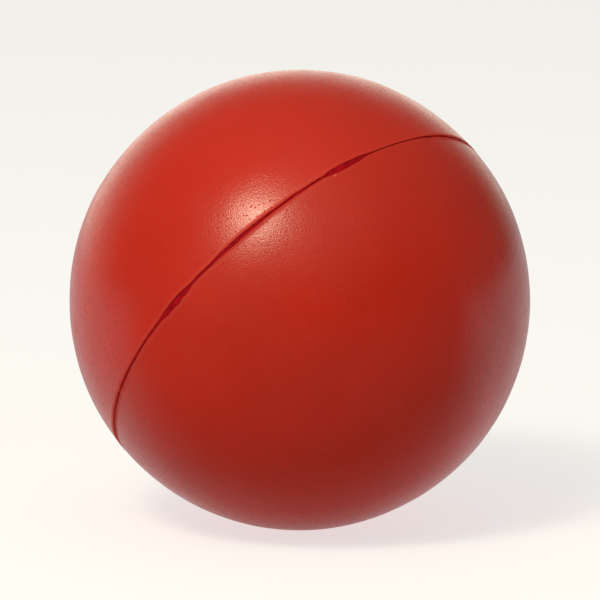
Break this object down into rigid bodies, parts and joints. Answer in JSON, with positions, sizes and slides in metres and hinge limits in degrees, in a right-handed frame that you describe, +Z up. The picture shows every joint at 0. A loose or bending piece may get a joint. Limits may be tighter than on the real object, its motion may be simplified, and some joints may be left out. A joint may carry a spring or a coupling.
{
  "type": "stress ball",
  "caption": "Round foam stress ball: two moulded skin halves meet at a tilted parting line over a springy foam core, and squeeze together.",
  "frame": {"origin": "middle of the small flat that the ball rests on, straight under the ball's centre", "axes": "+Z up from the rest face through the ball's centre; +X towards the side on which the tilted parting line stands highest; +Y completes the right-handed frame"},
  "size_m": [0.063, 0.063, 0.0627],
  "materials": {
    "red_skin": "satin, fine orange peel",
    "dark_web": "matt",
    "foam_red": "open cells"
  },
  "bodies": {
    "lower": {"lower_skin": "red_skin", "foam_core": "foam_red"},
    "web": {"seam_web": "dark_web"},
    "upper": {"upper_skin": "red_skin"}
  },
  "joints": [
    {"name": "squeeze", "type": "slide", "parent": "lower", "child": "upper", "axis": [0, 0, -1], "range_m": [0, 0.02], "stiffness_N_per_m": 2500, "deforming": ["upper_skin", "lower_skin", "foam_core", "seam_web"]},
    {"name": "web_squeeze", "type": "slide", "parent": "lower", "child": "web", "axis": [0, 0, -1], "range_m": [0, 0.01], "stiffness_N_per_m": 50}
  ],
  "couplings": [
    {"joint": "web_squeeze", "follows": "squeeze", "ratio": 0.5}
  ]
}
